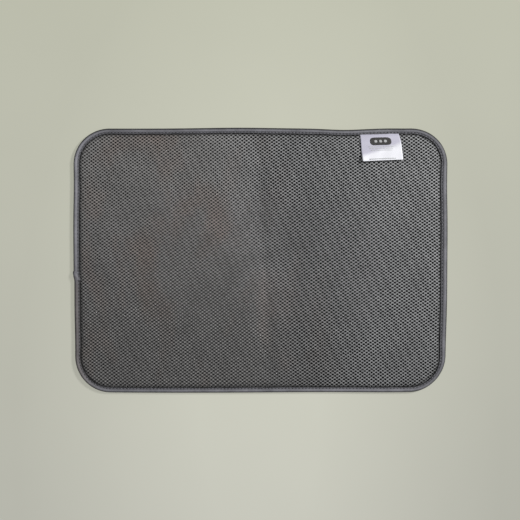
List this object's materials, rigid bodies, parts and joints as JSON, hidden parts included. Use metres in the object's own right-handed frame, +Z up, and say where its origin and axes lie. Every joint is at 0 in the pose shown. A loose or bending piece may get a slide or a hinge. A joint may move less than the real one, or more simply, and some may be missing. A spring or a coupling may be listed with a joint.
{
  "type": "padded mesh mat",
  "caption": "Flat padded textile mat with an open spacer-mesh face, a folded-over binding round its rounded outline, a sewn-in satin label, and a fold across the middle for storage",
  "frame": {"origin": "under the middle of the mat, on the surface that it lies on", "axes": "+X along the length of the mat, +Y towards the long edge that holds the label, +Z up out of the mesh face"},
  "size_m": [0.61, 0.432, 0.0097],
  "materials": {
    "mesh_knit": "matte",
    "spacer_filament": "matte",
    "base_knit": "matte",
    "padding_foam": "matte",
    "underside_microfibre": "matte",
    "binding_tape": "matte",
    "sewing_thread": "satin",
    "label_satin": "satin",
    "badge_weave": "matte",
    "label_ink": "matte"
  },
  "bodies": {
    "left_half": {"underside_cloth_left": "underside_microfibre", "foam_core_left": "padding_foam", "spacer_base_left": "base_knit", "spacer_yarns_left": "spacer_filament", "mesh_face_left": "mesh_knit", "edge_binding_left": "binding_tape", "needle_thread_left": "sewing_thread", "bobbin_thread_left": "sewing_thread", "binding_lap": "binding_tape", "lap_bartacks": "sewing_thread"},
    "right_half": {"underside_cloth_right": "underside_microfibre", "foam_core_right": "padding_foam", "spacer_base_right": "base_knit", "spacer_yarns_right": "spacer_filament", "mesh_face_right": "mesh_knit", "edge_binding_right": "binding_tape", "needle_thread_right": "sewing_thread", "bobbin_thread_right": "sewing_thread", "label_tail": "label_satin"},
    "label": {"label_flap": "label_satin", "label_badge": "badge_weave", "label_print": "label_ink"}
  },
  "joints": [
    {"name": "centre_fold", "type": "hinge", "parent": "left_half", "child": "right_half", "pos_m": [0, 0, 0.0098], "axis": [0, -1, 0], "range_deg": [0, 178]},
    {"name": "label_flip", "type": "hinge", "parent": "right_half", "child": "label", "pos_m": [0.197, 0.205, 0.00942], "axis": [-1, 0, 0], "range_deg": [0, 178]}
  ]
}
